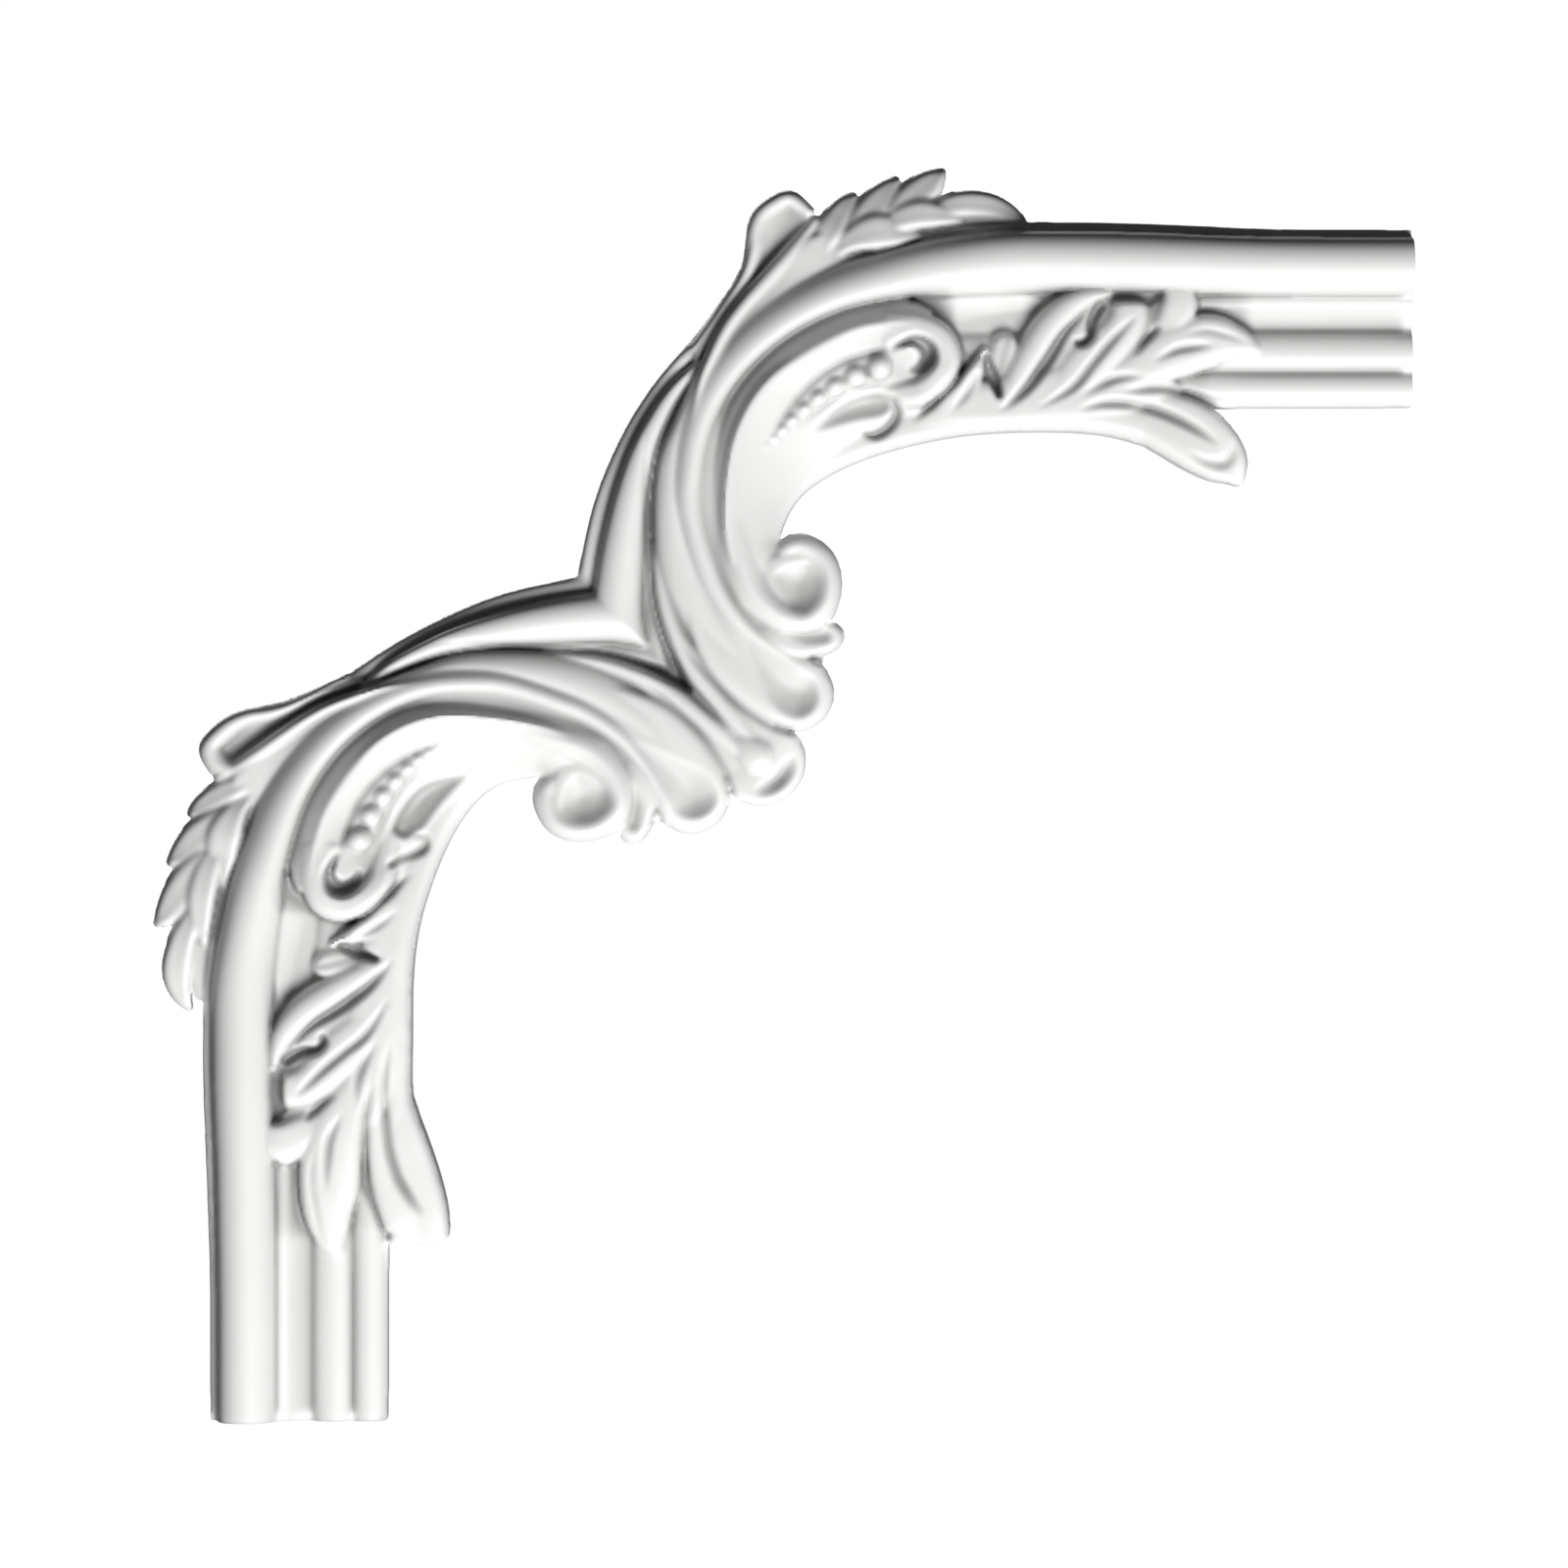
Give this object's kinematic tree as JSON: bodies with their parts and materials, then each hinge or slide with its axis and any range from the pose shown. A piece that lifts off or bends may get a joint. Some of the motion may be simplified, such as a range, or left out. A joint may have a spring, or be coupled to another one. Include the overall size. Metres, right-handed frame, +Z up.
{
  "type": "moulding corner",
  "caption": "Rococo corner for wall panel moulding, with scrolls, a fluted shell and leaves between two square-cut profiled arms.",
  "frame": {"origin": "on the flat back, on the mitre line between the two arms, where the inner rolls meet", "axes": "+X along the upper arm to its butt end, +Z up, so the other arm runs along -Z, +Y into the wall"},
  "size_m": [0.2846, 0.0178, 0.2837],
  "materials": {
    "white_primer": "white satin primer on rigid polyurethane foam"
  },
  "bodies": {
    "root": {"moulding_corner": "white_primer"}
  },
  "joints": []
}
